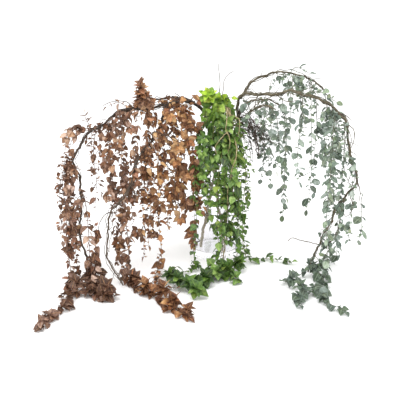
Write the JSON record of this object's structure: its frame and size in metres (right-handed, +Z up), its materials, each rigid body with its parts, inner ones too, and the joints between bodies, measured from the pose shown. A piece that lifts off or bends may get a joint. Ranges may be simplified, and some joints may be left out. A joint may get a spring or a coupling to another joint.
{
  "type": "eucalyptus stems in a vase",
  "caption": "Trailing eucalyptus stems in brown, green and grey-green, arching out of a clear glass cylinder vase and hanging to the surface round it.",
  "frame": {"origin": "middle of the vase's foot, on the surface that it stands on", "axes": "+Z up; the front faces -Y, with the brown stem towards -X and the grey one towards +X"},
  "size_m": [0.8732, 0.733, 0.5761],
  "materials": {
    "clear_glass": "gloss",
    "brown_bark": "matte",
    "green_bark": "matte",
    "grey_bark": "matte",
    "brown_leaf": "satin",
    "green_leaf": "satin",
    "grey_leaf": "matte"
  },
  "bodies": {
    "root": {"vase": "clear_glass", "brown_wood": "brown_bark", "green_wood": "green_bark", "grey_wood": "grey_bark", "brown_strand_01": "brown_leaf", "brown_strand_02": "brown_leaf", "brown_strand_03": "brown_leaf", "brown_strand_04": "brown_leaf", "brown_strand_05": "brown_leaf", "brown_strand_06": "brown_leaf", "brown_strand_07": "brown_leaf", "brown_strand_08": "brown_leaf", "brown_strand_09": "brown_leaf", "brown_strand_10": "brown_leaf", "brown_strand_11": "brown_leaf", "brown_strand_12": "brown_leaf", "brown_strand_13": "brown_leaf", "brown_strand_14": "brown_leaf", "brown_strand_15": "brown_leaf", "brown_strand_16": "brown_leaf", "brown_tuft": "brown_leaf", "brown_sprig": "brown_leaf", "brown_crown_left": "brown_leaf", "brown_crown_middle": "brown_leaf", "brown_crown_right": "brown_leaf", "green_strand_01": "green_leaf", "green_strand_02": "green_leaf", "green_strand_03": "green_leaf", "green_strand_04": "green_leaf", "green_strand_05": "green_leaf", "green_strand_06": "green_leaf", "green_strand_07": "green_leaf", "green_strand_08": "green_leaf", "green_left_tuft": "green_leaf", "green_right_tuft": "green_leaf", "grey_strand_01": "grey_leaf", "grey_strand_02": "grey_leaf", "grey_strand_03": "grey_leaf", "grey_strand_04": "grey_leaf", "grey_strand_05": "grey_leaf", "grey_strand_06": "grey_leaf", "grey_strand_07": "grey_leaf", "grey_strand_08": "grey_leaf", "grey_strand_09": "grey_leaf", "grey_strand_10": "grey_leaf", "grey_strand_11": "grey_leaf", "grey_strand_12": "grey_leaf", "grey_strand_13": "grey_leaf", "grey_strand_14": "grey_leaf", "grey_strand_15": "grey_leaf", "grey_left_trail": "grey_leaf", "grey_right_trail": "grey_leaf", "grey_sprig": "grey_leaf", "grey_crown_back": "grey_leaf", "grey_crown_front": "grey_leaf"}
  },
  "joints": []
}
